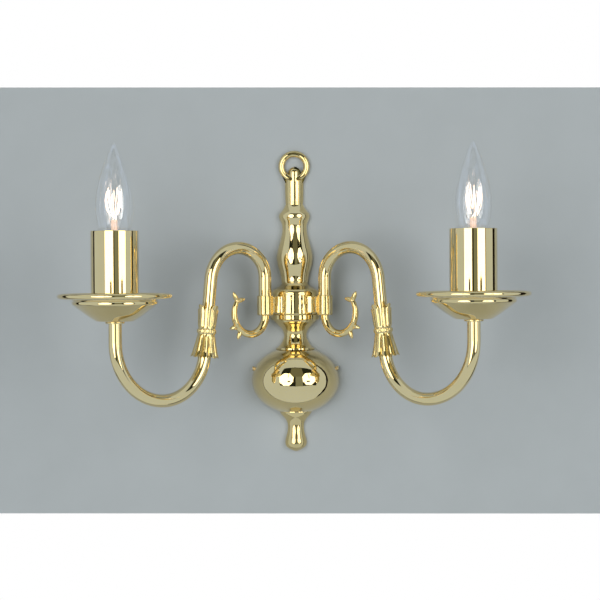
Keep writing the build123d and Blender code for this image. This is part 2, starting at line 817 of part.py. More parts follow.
def leaf_plane(side):
    """Plane across the leg at the leaf's waist, with local z up the leg."""
    (cu, cz), radius = crown_circle()
    leg_u = cu + radius * cos(leg_tilt)
    leg_z = cz + radius * sin(leg_tilt)
    waist_u = leg_u + (leg_z - leaf_z) * sin(leg_tilt) / cos(leg_tilt)
    plane = arm_plane(side)
    up = plane.y_dir * cos(leg_tilt) - plane.x_dir * sin(leg_tilt)
    across = plane.x_dir * cos(leg_tilt) + plane.y_dir * sin(leg_tilt)
    return Plane(origin=plane.from_local_coords((waist_u, leaf_z, 0)), x_dir=across, z_dir=up)


def make_leaf(side, name):
    """Cast leaf on the leg: a cup of four leaves above a waist bead, and a flared bell of four below."""
    waist = leaf_plane(side)
    half = leaf_half_length
    band = 0.12 * half
    cup = [(band, 1.05, 0.93), (0.55 * half, 1.11, 0.93), (0.85 * half, 1.18, 0.94)]
    bell = [(-1.6 * band, 1.06, 0.93), (-0.5 * half, 1.2, 0.97), (-0.8 * half, 1.42, 1.06)]
    with BuildPart() as leaf:
        for height, radius, valley in cup:
            with BuildSketch(waist.offset(height)):
                add(lobed(radius * leaf_throat_r, valley * leaf_throat_r))
        with BuildSketch(waist.offset(half)):
            add(lobed(leaf_cup_r, 0.98 * leaf_throat_r))
        loft()
        for height, radius, valley in bell:
            with BuildSketch(waist.offset(height)):
                add(lobed(radius * leaf_throat_r, valley * leaf_throat_r))
        with BuildSketch(waist.offset(-half)):
            add(lobed(leaf_bell_r, 1.16 * leaf_throat_r))
        loft()
        with BuildSketch(Plane(origin=waist.origin, x_dir=waist.x_dir, z_dir=-waist.y_dir)):
            with BuildLine():
                bead_low = (leaf_throat_r, -1.7 * band)
                bead_high = (leaf_throat_r, 1.2 * band)
                ThreePointArc(bead_low, (leaf_waist_r, 0), bead_high)
                Polyline(bead_high, (0, bead_high[1]), (0, bead_low[1]), bead_low)
            make_face()
        revolve(axis=Axis(waist.origin, waist.z_dir))
        # notches between the leaves, at the rim of the cup and of the bell
        for i in range(leaf_lobes):
            turn = 360 * i / leaf_lobes
            outward = waist.rotated((0, 0, turn))
            gap = Plane(origin=waist.origin, x_dir=outward.y_dir, z_dir=outward.x_dir)
            for end in (1, -1):
                with BuildSketch(gap):
                    Polygon(
                        (-0.75 * leaf_notch, end * (half + cut_margin)),
                        (0.75 * leaf_notch, end * (half + cut_margin)),
                        (0, end * (half - leaf_notch)),
                        align=None,
                    )
                extrude(amount=2 * leaf_bell_r, mode=Mode.SUBTRACT)
        with BuildSketch(waist.offset(-half - cut_margin)):
            Circle(tube_r + tube_fit)
        extrude(amount=2 * (half + cut_margin), mode=Mode.SUBTRACT)
        # the bell is hollow, which also leaves room for the tube to start its bend
        with BuildSketch(waist.offset(-half)):
            Circle(leaf_throat_r)
        with BuildSketch(waist.offset(-half / 3)):
            Circle(tube_r + tube_fit)
        loft(mode=Mode.SUBTRACT)
    write(leaf.part, f"{name}_leaf")


def make_scroll(side, name):
    """Tapered tendril that hangs from the boss and curls up outside it, with a forked tip and a leaf spur."""
    plane = arm_plane(side)
    first = (scroll_inner_radius, boss_bottom)
    second = (scroll_inner_radius, boss_bottom - scroll_inner_radius + scroll_outer_radius)
    with BuildPart() as scroll:
        with BuildLine(plane) as path:
            CenterArc(first, scroll_inner_radius, 180, 90)
            CenterArc(second, scroll_outer_radius, 270, scroll_turn)
        line = path.wire()
        for i, radius in enumerate(scroll_radii):
            share = i / (len(scroll_radii) - 1)
            with BuildSketch(Plane(origin=line @ share, x_dir=plane.z_dir, z_dir=line % share)):
                Circle(radius)
        sweep(path=line, multisection=True)
        with Locations(line @ 1):
            Sphere(scroll_knuckle_r)
        for share, direction in scroll_leaves:
            around = radians(270 + share * scroll_turn)
            root_x = second[0] + scroll_outer_radius * cos(around)
            root_y = second[1] + scroll_outer_radius * sin(around)
            foot = plane.from_local_coords((root_x, root_y, 0))
            a = radians(direction)
            heading = plane.x_dir * cos(a) + plane.y_dir * sin(a)
            with BuildSketch(Plane(origin=foot, x_dir=heading, z_dir=plane.z_dir)):
                with BuildLine():
                    widest = (0.45 * scroll_spur, spur_half_width)
                    ThreePointArc((0, spur_root_r), widest, (scroll_spur, spur_tip_r))
                    Polyline((scroll_spur, spur_tip_r), (scroll_spur, 0), (0, 0), (0, spur_root_r))
                make_face()
            revolve(axis=Axis(foot, heading))
        with BuildSketch(boss_level(side, boss_bottom)):
            Circle(scroll_stud_r)
        extrude(amount=scroll_stud_length)
    write(scroll.part, f"{name}_scroll")


# ---------------------------------------------------------------- pan, sleeve and holder
def pan_level(side, height=0.0):
    """Level plane on one pan's axis."""
    return Plane(origin=(side * pan_x, pan_y, height), x_dir=(1, 0, 0), z_dir=(0, 0, 1))


def pan_section(side):
    """Upright plane through one pan's axis, local x outward and local y up from the row's origin."""
    return Plane(origin=(side * pan_x, pan_y, 0), x_dir=(1, 0, 0), z_dir=(0, -1, 0))


def pan_axis(side):
    """Upright axis of one pan, sleeve, holder and lamp."""
    return Axis((side * pan_x, pan_y, 0), (0, 0, 1))


def make_check_ring(side, name):
    """Turned ring between the tube's end and the pan."""
    with BuildPart() as ring:
        with BuildSketch(pan_level(side, tube_top_z)):
            Circle(check_ring_r)
            Circle(nipple_r + thread_clearance, mode=Mode.SUBTRACT)
        extrude(amount=ring_thickness)
        circles = ring.edges().filter_by(GeomType.CIRCLE)
        fillet(circles.filter_by(lambda e: abs(e.radius - check_ring_r) < 0.01), radius=0.45 * ring_thickness)
    write(ring.part, f"{name}_check_ring")


def make_pan(side, name):
    """Spun drip pan: flat floor, ogee cone, a step and a wide lip with a rolled rim."""
    bore = nipple_r + thread_clearance
    rim_z = pan_z + pan_rim_height
    lip_in = pan_rim_r - pan_lip_r
    rise = pan_rim_height
    thick = pan_thickness
    under = [
        (pan_foot_r, pan_z),
        (1.08 * pan_foot_r, pan_z + 0.13 * rise),
        (pan_seat_r, pan_z + 0.3 * rise),
        (1.31 * pan_seat_r, pan_z + 0.47 * rise),
        (pan_step_r - 2.5 * pan_step_round, pan_z + 0.6 * rise),
    ]
    edge = pan_step_r - (1 - cos(pi / 4)) * pan_step_round
    edge_z = pan_z + 0.62 * rise + (1 - sin(pi / 4)) * pan_step_round
    flare = (1.1 * pan_step_r, pan_z + 0.83 * rise)
    with BuildPart() as pan:
        with BuildSketch(pan_section(side)):
            with BuildLine():
                Line((bore, pan_z), under[0])
                Spline(*under)
                step_low = (pan_step_r - pan_step_round, pan_z + 0.62 * rise)
                step_side = (pan_step_r, step_low[1] + pan_step_round)
                step_high = (1.01 * pan_step_r, pan_z + 0.76 * rise)
                Line(under[-1], step_low)
                ThreePointArc(step_low, (edge, edge_z), step_side)
                Line(step_side, step_high)
                lip_under = (lip_in, rim_z - pan_lip_r)
                Spline(step_high, flare, lip_under)
                ThreePointArc(lip_under, (pan_rim_r, rim_z), (lip_in, rim_z + pan_lip_r))
                lip_top = (lip_in - pan_lip_r, rim_z + 0.3 * pan_lip_r)
                Line((lip_in, rim_z + pan_lip_r), lip_top)
                over_step = (pan_step_r - 0.6 * thick, step_high[1] + 0.6 * thick)
                step_floor = (over_step[0] - pan_step_round, step_low[1] + 1.2 * thick)
                Spline(lip_top, (flare[0], flare[1] + thick), over_step)
                Line(over_step, step_floor)
                back = [(r - 0.45 * thick, z + 1.15 * thick) for r, z in reversed(under[1:])]
                Line(step_floor, back[0])
                floor_edge = (pan_foot_r - 0.5 * thick, pan_z + thick)
                Spline(*back, floor_edge)
                Polyline(floor_edge, (bore, pan_z + thick), (bore, pan_z))
            make_face()
        revolve(axis=pan_axis(side))
    write(pan.part, f"{name}_drip_pan")


def make_sleeve(side, name):
    """Polished candle sleeve, open at both ends, that stands in the pan."""
    with BuildPart() as sleeve:
        with BuildSketch(pan_level(side, sleeve_z)):
            Circle(sleeve_r)
            Circle(sleeve_r - sleeve_wall, mode=Mode.SUBTRACT)
        extrude(amount=sleeve_length)
        fillet(sleeve.edges().group_by(Axis.Z)[-1], radius=0.35 * sleeve_wall)
    write(sleeve.part, f"{name}_candle_sleeve")


def make_nipple(side, name):
    """Threaded nipple: its spigot is fixed in the tube and its thread holds the holder down on the pan."""
    with BuildPart() as nipple:
        with BuildSketch(pan_level(side, tube_top_z - nipple_spigot)):
            Circle(tube_r - tube_wall - tube_fit)
        extrude(amount=nipple_spigot)
        with BuildSketch(pan_level(side, tube_top_z)):
            Circle(nipple_r)
        extrude(amount=nipple_thread)
        with BuildSketch(pan_level(side, tube_top_z - nipple_spigot)):
            Circle(nipple_bore_r)
        extrude(amount=nipple_spigot + nipple_thread, mode=Mode.SUBTRACT)
    write(nipple.part, f"{name}_nipple")


def make_holder_base(side, name):
    """Cup shaped base of the lampholder, screwed onto the nipple, with a spigot for the barrel."""
    bore = nipple_r + thread_clearance
    throat = tube_top_z + nipple_thread
    flare = holder_z + 0.72 * holder_base_height
    spigot_r = holder_r - holder_wall - thread_clearance
    with BuildPart() as base:
        with BuildSketch(pan_section(side)):
            with BuildLine():
                Polyline(
                    (bore, throat),
                    (bore, holder_z),
                    (holder_base_r, holder_z),
                    (holder_base_r, holder_z + 0.4 * holder_base_height),
                    (holder_r, flare),
                    (holder_r, barrel_z),
                    (spigot_r, barrel_z),
                    (spigot_r, insulator_z),
                    (spigot_r - holder_wall, insulator_z),
                    (spigot_r - holder_wall, flare),
                    (holder_base_r - holder_wall, throat + holder_throat),
                    (holder_base_r - holder_wall, throat),
                    (bore, throat),
                )
            make_face()
        revolve(axis=pan_axis(side))
    write(base.part, f"{name}_holder_base")


def slot_window(side, turn, low, high, start, sweep_angle):
    """Takes a window out of the barrel's wall between two heights and over a span of angle."""
    a = radians(turn + start)
    upright = Plane(
        origin=(side * pan_x, pan_y, 0),
        x_dir=(cos(a), sin(a), 0),
        z_dir=(sin(a), -cos(a), 0),
    )
    with BuildSketch(upright) as window:
        with Locations(((holder_bore_r + holder_r) / 2, (low + high) / 2)):
            Rectangle(holder_r - holder_bore_r + 2 * cut_margin, high - low)
    revolve(window.sketch, axis=pan_axis(side), revolution_arc=sweep_angle, mode=Mode.SUBTRACT)


def make_holder_barrel(side, name):
    """Bayonet barrel with two L shaped slots."""
    with BuildPart() as barrel:
        with BuildSketch(pan_level(side, barrel_z)):
            Circle(holder_r)
        extrude(amount=holder_barrel)
        with BuildSketch(pan_level(side, barrel_z)):
            Circle(holder_r - holder_wall)
        extrude(amount=insulator_top - barrel_z, mode=Mode.SUBTRACT)
        with BuildSketch(pan_level(side, insulator_top)):
            Circle(holder_bore_r)
        extrude(amount=holder_mouth_z - insulator_top, mode=Mode.SUBTRACT)
        pin_room = cap_pin_r + slot_clearance
        pin_angle = degrees(pin_room / holder_bore_r) + slot_end_margin
        for turn in (0, 180):
            low = pin_z - lamp_press_travel - pin_room
            slot_window(side, turn, low, pin_z + pin_room, -pin_angle, lamp_twist + 2 * pin_angle)
            slot_window(side, turn, pin_z, holder_mouth_z + cut_margin, lamp_twist - pin_angle, 2 * pin_angle)
    write(barrel.part, f"{name}_holder_barrel")


def plunger_places():
    """Where the two contact plungers stand, across the lamp's pins."""
    return [(0, -plunger_spacing / 2), (0, plunger_spacing / 2)]


def make_holder_inside(side, name):
    """Insulator with two wells, the two sprung contact plungers and their springs."""
    well = insulator_top - (plunger_top - plunger_length - lamp_press_travel - spring_room)
    with BuildPart() as insulator:
        with BuildSketch(pan_level(side, insulator_z)):
            Circle(holder_r - holder_wall - thread_clearance)
        extrude(amount=insulator_height)
        with BuildSketch(pan_level(side, insulator_top - well)):
            with Locations(*plunger_places()):
                Circle(plunger_r + plunger_clearance)
        extrude(amount=well, mode=Mode.SUBTRACT)
    write(insulator.part, f"{name}_holder_insulator")
    with BuildPart() as plungers:
        with BuildSketch(pan_level(side, plunger_top - plunger_length)):
            with Locations(*plunger_places()):
                Circle(plunger_r)
        extrude(amount=plunger_length)
        tops = plungers.edges().filter_by(GeomType.CIRCLE).group_by(Axis.Z)[-1]
        fillet(tops, radius=plunger_round)
    write(plungers.part, f"{name}_contact_plungers")
    with BuildPart() as springs:
        with BuildSketch(pan_level(side, insulator_top - well)):
            with Locations(*plunger_places()):
                Circle(spring_r)
                Circle(spring_r - spring_wire, mode=Mode.SUBTRACT)
        extrude(amount=plunger_top - plunger_length - insulator_top + well)
    write(springs.part, f"{name}_contact_springs")


# ---------------------------------------------------------------- lamp
def glass_outline(inset):
    """Candle lamp's outline from its neck to its drawn tip."""
    length = glass_length
    swell = glass_r - inset
    neck = glass_neck_r - inset
    shape = [
        (neck, 0),
        (neck, 0.055 * length),
        (0.829 * swell, 0.155 * length),
        (0.983 * swell, 0.285 * length),
        (swell, 0.4 * length),
        (0.943 * swell, 0.525 * length),
        (0.829 * swell, 0.625 * length),
        (0.657 * swell, 0.722 * length),
        (0.44 * swell, 0.815 * length),
        (0.22 * swell, 0.915 * length),
        (0.0, length - 1.5 * inset),
    ]
    return [(r, glass_z + h) for r, h in shape]


def make_lamp_glass(side, name):
    """Clear candle shaped glass, open at the neck, where the stem seals it."""
    outer = glass_outline(0)
    inner = glass_outline(glass_wall)
    with BuildPart() as glass:
        with BuildSketch(pan_section(side)):
            with BuildLine():
                Spline(*outer)
                Line(outer[-1], inner[-1])
                Spline(*reversed(inner))
                Line(inner[0], outer[0])
            make_face()
        revolve(axis=pan_axis(side))
    write(glass.part, f"{name}_lamp_glass")


def make_lamp_cap(side, name):
    """Brass bayonet cap with its two pins, the black glass base and the two contact pads."""
    with BuildPart() as cap:
        with BuildSketch(pan_level(side, cap_z)):
            Circle(cap_r)
            Circle(cap_r - cap_wall, mode=Mode.SUBTRACT)
        extrude(amount=cap_height)
        for turn in (1, -1):
            outward = Plane(origin=(side * pan_x, pan_y, pin_z), z_dir=(turn, 0, 0))
            with BuildSketch(outward.offset(cap_r - cap_wall)):
                Circle(cap_pin_r)
            extrude(amount=cap_pin_reach - cap_r + cap_wall)
    write(cap.part, f"{name}_lamp_cap")
    with BuildPart() as vitrite:
        with BuildSketch(pan_level(side, cap_z)):
            Circle(cap_r - cap_wall - tube_fit)
        extrude(amount=vitrite_height)
        with BuildSketch(pan_level(side, cap_z)):
            with Locations(*plunger_places()):
                Circle(contact_pad_r)
        extrude(amount=contact_pad_height, mode=Mode.SUBTRACT)
    write(vitrite.part, f"{name}_lamp_base")
    with BuildPart() as pads:
        with BuildSketch(pan_level(side, lamp_z)):
            with Locations(*plunger_places()):
                Circle(contact_pad_r)
        extrude(amount=2 * contact_pad_height)
        fillet(pads.edges().group_by(Axis.Z)[0], radius=contact_pad_round)
    write(pads.part, f"{name}_lamp_contacts")


def make_lamp_inside(side, name):
    """Glass stem that closes the lamp's neck, and the filament that it holds on two lead wires."""
    flare_r = glass_neck_r - glass_wall - tube_fit
    stem_top = glass_z + stem_glass_height
    with BuildPart() as stem:
        with BuildSketch(pan_section(side)):
            with BuildLine():
                ThreePointArc(
                    (flare_r, glass_z),
                    (0.55 * flare_r, glass_z + 0.14 * stem_glass_height),
                    (stem_glass_r, glass_z + 0.4 * stem_glass_height),
                )
                Polyline(
                    (stem_glass_r, glass_z + 0.4 * stem_glass_height),
                    (stem_glass_r, stem_top),
                    (0, stem_top),
                    (0, glass_z),
                    (flare_r, glass_z),
                )
            make_face()
        revolve(axis=pan_axis(side))
    write(stem.part, f"{name}_lamp_stem")
    low = stem_top + lead_length
    high = low + filament_height
    turn = 2 * pi / (2 * filament_hairpins + 1)
    points = []
    for i in range(2 * filament_hairpins):
        heights = (low, high) if i % 2 == 0 else (high, low)
        for z in heights:
            reach = filament_foot_r if z == low else filament_top_r
            points.append((side * pan_x + reach * cos(turn * i), pan_y + reach * sin(turn * i), z))
    first, last = points[0], points[-1]
    points = [(first[0], first[1], stem_top), *points, (last[0], last[1], stem_top)]
    with BuildPart() as filament:
        with BuildLine() as path:
            Polyline(*points)
        with BuildSketch(Plane(origin=points[0], z_dir=(0, 0, 1))):
            Circle(filament_r)
        sweep(path=path.wire(), transition=Transition.RIGHT)
    write(filament.part, f"{name}_lamp_filament")


# ---------------------------------------------------------------- the whole sconce
make_ring_stem()
make_vase()
make_arm_collar()
make_lower_neck()
make_half_ball()
make_finial()
make_tie_rod()
make_wall_bracket()
make_side_screws()
make_terminal_block()
make_earth_screw()
for name, side in SIDES.items():
    make_arm_tube(side, name)
    make_arm_wires(side, name)
    make_leaf(side, name)
    make_scroll(side, name)
    make_check_ring(side, name)
    make_pan(side, name)
    make_sleeve(side, name)
    make_nipple(side, name)
    make_holder_base(side, name)
    make_holder_barrel(side, name)
    make_holder_inside(side, name)
    make_lamp_glass(side, name)
    make_lamp_cap(side, name)
    make_lamp_inside(side, name)
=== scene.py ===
"""Looks of the double arm wall sconce: lacquered brass, clear lit candle lamps, a grey wall and a soft studio."""

import json
from math import cos, pi, radians, sin
from random import Random

import bpy
from mathutils import Euler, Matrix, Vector

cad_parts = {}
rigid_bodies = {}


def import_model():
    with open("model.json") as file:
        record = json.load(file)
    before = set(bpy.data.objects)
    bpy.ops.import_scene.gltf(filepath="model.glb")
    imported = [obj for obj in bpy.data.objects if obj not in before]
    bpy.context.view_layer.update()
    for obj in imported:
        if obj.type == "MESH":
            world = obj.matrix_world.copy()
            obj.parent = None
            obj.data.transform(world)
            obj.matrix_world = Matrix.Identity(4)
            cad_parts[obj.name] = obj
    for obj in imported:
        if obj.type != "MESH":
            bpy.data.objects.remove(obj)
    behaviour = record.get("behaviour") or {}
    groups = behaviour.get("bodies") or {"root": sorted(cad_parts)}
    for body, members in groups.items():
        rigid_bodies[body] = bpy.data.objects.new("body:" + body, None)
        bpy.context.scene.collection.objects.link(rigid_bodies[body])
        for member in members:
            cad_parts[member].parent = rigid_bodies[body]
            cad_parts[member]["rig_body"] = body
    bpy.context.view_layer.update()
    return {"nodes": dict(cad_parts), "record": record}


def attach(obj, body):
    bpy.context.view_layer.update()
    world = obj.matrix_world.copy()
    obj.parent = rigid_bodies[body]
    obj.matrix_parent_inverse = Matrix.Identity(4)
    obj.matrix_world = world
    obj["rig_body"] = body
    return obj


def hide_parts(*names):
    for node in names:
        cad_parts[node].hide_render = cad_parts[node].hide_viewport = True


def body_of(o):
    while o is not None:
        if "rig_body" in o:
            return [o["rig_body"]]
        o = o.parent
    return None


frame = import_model()
scene = bpy.context.scene
NODES = frame["nodes"]

# ---------------------------------------------------------------- studio sizes, in metres
CAMERA_AT = Vector((0.0092, -1.8, 0.0805))
CAMERA_PITCH = radians(-0.69)
CAMERA_YAW = radians(0.156)
CAMERA_ROLL = radians(-0.4)
FOCAL_PIXELS = 2079.0
IMAGE_PIXELS = 600
SENSOR = 36.0  # in millimetres
NEAREST_SEEN = 0.01

WALL_HALF_WIDTH = 0.42
WALL_BOTTOM, WALL_TOP = -0.62, 0.75
# to the camera, the wall is white above and below its grey part, as in the photograph
GREY_BOTTOM, GREY_TOP = -0.1262, 0.2427
# height and half width of the wall's opening behind the castings, narrower than their outline
WALL_OPENING = (
    (-0.0715, 0.0), (-0.0705, 0.0045), (-0.0665, 0.0078), (-0.060, 0.0080), (-0.053, 0.0062), (-0.045, 0.0080),
    (-0.040, 0.0115), (-0.0365, 0.0125), (-0.034, 0.0165), (-0.028, 0.0275), (-0.022, 0.0335), (-0.0104, 0.0372),
    (0.0, 0.0343), (0.008, 0.0265), (0.0135, 0.0155), (0.0172, 0.0150), (0.0205, 0.0122), (0.0243, 0.0098),
    (0.0286, 0.0087), (0.033, 0.0098), (0.0375, 0.0138), (0.041, 0.0172), (0.065, 0.0172), (0.0715, 0.0105),
    (0.0745, 0.0105), (0.095, 0.0148), (0.108, 0.0128), (0.119, 0.0098), (0.1315, 0.0124), (0.139, 0.0080),
    (0.163, 0.0070), (0.1645, 0.0),
)
FLOOR_Z = -0.62
FLOOR_HALF = 1.6

# each softbox: direction from the object in degrees right and up, distance, half width and half height
SOFTBOXES = {
    "left_softbox": (-24.6, 7.7, 1.58, 0.525, 0.77),
    "right_softbox": (36.4, 8.9, 1.60, 0.485, 0.72),
}
# dark lamp and stand in front of each softbox: centre and half size as shares of its half width and height
SOFTBOX_SHADES = {
    "left_softbox": ((0.37, 0.27, 0.20, 0.09), (0.23, -0.68, 0.035, 0.33)),
    "right_softbox": ((-0.15, 0.40, 0.25, 0.16), (0.04, -0.57, 0.04, 0.43)),
}
SHADE_GAP = 0.01  # between a softbox and its shades
SOFTBOX_SIDES = 8
SOFTBOX_AIM = Vector((0.0, -0.04, 0.0))
SOFTBOX_GLOW = 3.2  # as metal and glass see it
SOFTBOX_LIGHT = 3.75  # as the wall and the object are lit by it
SOFTBOX_COLOUR = (1.0, 0.985, 0.96)

# cards behind the camera: left, right, bottom, top, distance in front of the wall, colour
CLOTHS = {
    "dark_doorway": (-2.05, 3.5, -1.25, 3.9, 2.30, (0.020, 0.024, 0.018)),
    "doorway_low": (0.02, 0.80, -1.15, 0.85, 2.28, (0.24, 0.27, 0.24)),
    "doorway_high": (-0.60, 0.95, 0.85, 3.5, 2.28, (0.17, 0.18, 0.14)),
}
# dark gaps beside the wall: near and far edge in plan
GAP_LEFT = ((-0.42, 0.0), (-0.64, 0.0))
GAP_RIGHT = ((0.42, 0.0), (0.62, -0.06))
GAP_COLOUR = (0.012, 0.010, 0.008)

WALL_COLOUR = (0.385, 0.425, 0.450)
FLOOR_COLOUR = (0.62, 0.63, 0.63)
FLOOR_GLOW_SHARE = 0.6  # how much of its colour the camera sees without light on it
ROOM_COLOUR = (0.60, 0.69, 0.84)  # as metal and glass see it
ROOM_LIGHT = (0.20, 0.21, 0.22)  # as the wall and the object are lit by it
GREY_BEHIND = (0.40, 0.42, 0.43)


# ---------------------------------------------------------------- materials
MIDDLE = (0.3, 0.7)  # the range in which most of a noise's values lie


class Recipe:
    """A new material and short calls that add nodes to it."""

    def __init__(self, name):
        self.material = bpy.data.materials.new(name)
        self.material.use_nodes = True
        self.tree = self.material.node_tree
        self.shader = self.tree.nodes["Principled BSDF"]
        self.output = self.tree.nodes["Material Output"]
        self.place = self.add("ShaderNodeTexCoord").outputs["Object"]

    def add(self, kind, **settings):
        made = self.tree.nodes.new(kind)
        for key, value in settings.items():
            setattr(made, key, value)
        return made

    def link(self, source, target):
        self.tree.links.new(source, target)

    def set(self, **values):
        """Sets sockets of the Principled shader; words are written with underscores."""
        for key, value in values.items():
            name = key.replace("_", " ")
            self.shader.inputs[name].default_value = (*value, 1.0) if isinstance(value, tuple) else value

    def noise(self, scale, detail=3.0, stretch=(1, 1, 1)):
        """Value of a noise whose cells are about 1/scale metres."""
        mapping = self.add("ShaderNodeMapping")
        mapping.inputs["Scale"].default_value = stretch
        self.link(self.place, mapping.inputs["Vector"])
        made = self.add("ShaderNodeTexNoise")
        made.inputs["Scale"].default_value = scale
        made.inputs["Detail"].default_value = detail
        self.link(mapping.outputs["Vector"], made.inputs["Vector"])
        return made.outputs["Fac"]

    def spread(self, value, low, high, within=MIDDLE):
        """Maps a value's range within to low..high."""
        made = self.add("ShaderNodeMapRange")
        made.inputs["From Min"].default_value, made.inputs["From Max"].default_value = within
        made.inputs["To Min"].default_value = low
        made.inputs["To Max"].default_value = high
        self.link(value, made.inputs["Value"])
        return made.outputs["Result"]

    def blend(self, value, low_colour, high_colour):
        """Colour between two, by a noise."""
        made = self.add("ShaderNodeMix", data_type="RGBA")
        self.link(self.spread(value, 0.0, 1.0), made.inputs["Factor"])
        for socket, colour in zip([s for s in made.inputs if s.type == "RGBA"], (low_colour, high_colour)):
            socket.default_value = (*colour, 1.0)
        return [s for s in made.outputs if s.type == "RGBA"][0]

    def colour(self, source):
        self.link(source, self.shader.inputs["Base Color"])

    def rough(self, source):
        self.link(source, self.shader.inputs["Roughness"])

    def bump(self, value, depth):
        """Relief of a given depth in metres."""
        made = self.add("ShaderNodeBump")
        made.inputs["Strength"].default_value = 1.0
        made.inputs["Distance"].default_value = depth
        self.link(value, made.inputs["Height"])
        self.link(made.outputs["Normal"], self.shader.inputs["Normal"])

    def reckon(self, operation, first, second):
        """Result of an operation on a value and a second value or plain number."""
        made = self.add("ShaderNodeMath", operation=operation)
        self.link(first, made.inputs[0])
        if isinstance(second, float):
            made.inputs[1].default_value = second
        else:
            self.link(second, made.inputs[1])
        return made.outputs[0]

    def glow(self, colour, strength=1.0):
        made = self.add("ShaderNodeEmission")
        made.inputs["Color"].default_value = (*colour, 1.0)
        made.inputs["Strength"].default_value = strength
        return made.outputs["Emission"]

    def mix(self, share, shader, other):
        """Shader, with another in its place by a share of 0 to 1."""
        made = self.add("ShaderNodeMixShader")
        for source, socket in zip((share, shader, other), made.inputs):
            self.link(source, socket)
        return made.outputs["Shader"]

    def show(self, shader):
        self.link(shader, self.output.inputs["Surface"])


def metal(name, tint, other_tint, low_rough, high_rough, relief=0.0, grain=900.0):
    """Polished metal with a faint drift of tint, uneven polish and fine marks."""
    made = Recipe(name)
    made.set(Metallic=1.0)
    made.colour(made.blend(made.noise(scale=38.0), tint, other_tint))
    made.rough(made.spread(made.noise(grain, detail=4.0), low_rough, high_rough))
    if relief:
        made.bump(made.noise(grain * 0.5, detail=2.0), relief)
    return made


def polished_brass():
    made = metal("lacquered_brass", (0.79, 0.60, 0.215), (0.82, 0.63, 0.245), low_rough=0.02, high_rough=0.05)
    made.set(Coat_Weight=1.0, Coat_Roughness=0.02, Coat_IOR=1.9)
    return made.material


def cast_brass():
    made = metal("cast_brass", (0.70, 0.53, 0.185), (0.79, 0.60, 0.225), low_rough=0.03, high_rough=0.08,
                 relief=0.00009, grain=420.0)
    made.set(Coat_Weight=0.8, Coat_Roughness=0.03, Coat_IOR=1.9)
    return made.material


def steel():
    return metal("zinc_plated_steel", (0.55, 0.56, 0.57), (0.66, 0.66, 0.64), low_rough=0.22, high_rough=0.38,
                 relief=0.00001, grain=600.0).material


def spring_steel():
    return metal("spring_steel", (0.50, 0.50, 0.50), (0.62, 0.61, 0.59), low_rough=0.18, high_rough=0.30).material


def terminal_brass():
    return metal("plain_brass", (0.70, 0.50, 0.22), (0.78, 0.60, 0.30), low_rough=0.18, high_rough=0.34,
                 relief=0.00001).material


def moulding(name, tint, other_tint, low_rough, high_rough):
    """Moulded plastic with a faint mottle and fine relief."""
    made = Recipe(name)
    made.colour(made.blend(made.noise(scale=120.0), tint, other_tint))
    made.rough(made.spread(made.noise(scale=500.0), low_rough, high_rough))
    made.bump(made.noise(scale=900.0), depth=0.00001)
    return made.material


def stem_glass():
    """Drawn glass with fine seeds, warmed by a painted glow, uneven by a noise, that stands in for the light of the
    filament on it.
    """
    made = Recipe("stem_glass")
    # the emission colour and its noisy strength are a painted glow of the filament's light on the glass, not a lamp
    made.set(Transmission_Weight=0.55, IOR=1.45, Roughness=0.12, Emission_Color=(1.0, 0.62, 0.42))
    made.colour(made.blend(made.noise(scale=700.0), (0.88, 0.76, 0.66), (0.97, 0.90, 0.83)))
    made.link(made.spread(made.noise(scale=500.0), low=0.10, high=0.40), made.shader.inputs["Emission Strength"])
    return made.material


def bulb_glass():
    """Thin blown glass as one skin: almost clear, a pale mirror, with faint painted reflection streaks along it where
    more of the mirror shows.
    """
    made = Recipe("clear_glass")
    made.set(Base_Color=(0.93, 0.96, 0.98), Metallic=1.0, Roughness=0.02)
    # upright streaks where the skin is more mirror than clear: painted reflections standing in for the softboxes'
    # streaks on the glass
    painted_reflection_streaks = made.noise(scale=420.0, detail=2.0, stretch=(1.0, 1.0, 0.02))
    made.link(made.spread(painted_reflection_streaks, low=0.035, high=0.17, within=(0.44, 0.68)), made.shader.inputs["Alpha"])
    return made.material


def filament():
    """Glowing wire, paler where it is hotter."""
    made = Recipe("lit_filament")
    made.set(Base_Color=(0.9, 0.6, 0.4), Roughness=0.5, Emission_Strength=2.6)
    heat = made.blend(made.noise(scale=220.0), (1.0, 0.64, 0.42), (1.0, 0.90, 0.80))
    made.link(heat, made.shader.inputs["Emission Color"])
    return made.material


MATERIALS = {
    "polished_brass": polished_brass(),
    "cast_brass": cast_brass(),
    "steel": steel(),
    "spring_steel": spring_steel(),
    "terminal_brass": terminal_brass(),
    "bakelite": moulding("brown_bakelite", (0.035, 0.018, 0.010), (0.055, 0.028, 0.016), 0.22, 0.40),
    "terminal_plastic": moulding("white_nylon", (0.62, 0.61, 0.56), (0.70, 0.69, 0.64), 0.35, 0.5),
    "wire_insulation": moulding("wire_sleeving", (0.60, 0.60, 0.56), (0.68, 0.67, 0.62), 0.40, 0.55),
    "clear_glass": bulb_glass(),
    "stem_glass": stem_glass(),
    "filament": filament(),
}
SLOT_OF = {part["node"]: part["material_slot"] for part in frame["record"]["subparts"]}
for node, shown in NODES.items():
    shown.data.materials.clear()
    shown.data.materials.append(MATERIALS[SLOT_OF[node]])


# ---------------------------------------------------------------- pieces that stand for nodes, in millimetres
MM = 0.001
SIDES = {"left": -1, "right": 1}
ARM_ANGLE = radians(40)  # between each arm and the wall
PROFILE_STEPS = 3  # points on each stretch of a turned profile
TUBE_R = 5.56  # outside of the arm's tube

PAN_X, PAN_Y = 144.86, -121.55
PAN_Z = 43.9
PAN_BORE = 5.2
PAN_FACETS = 160
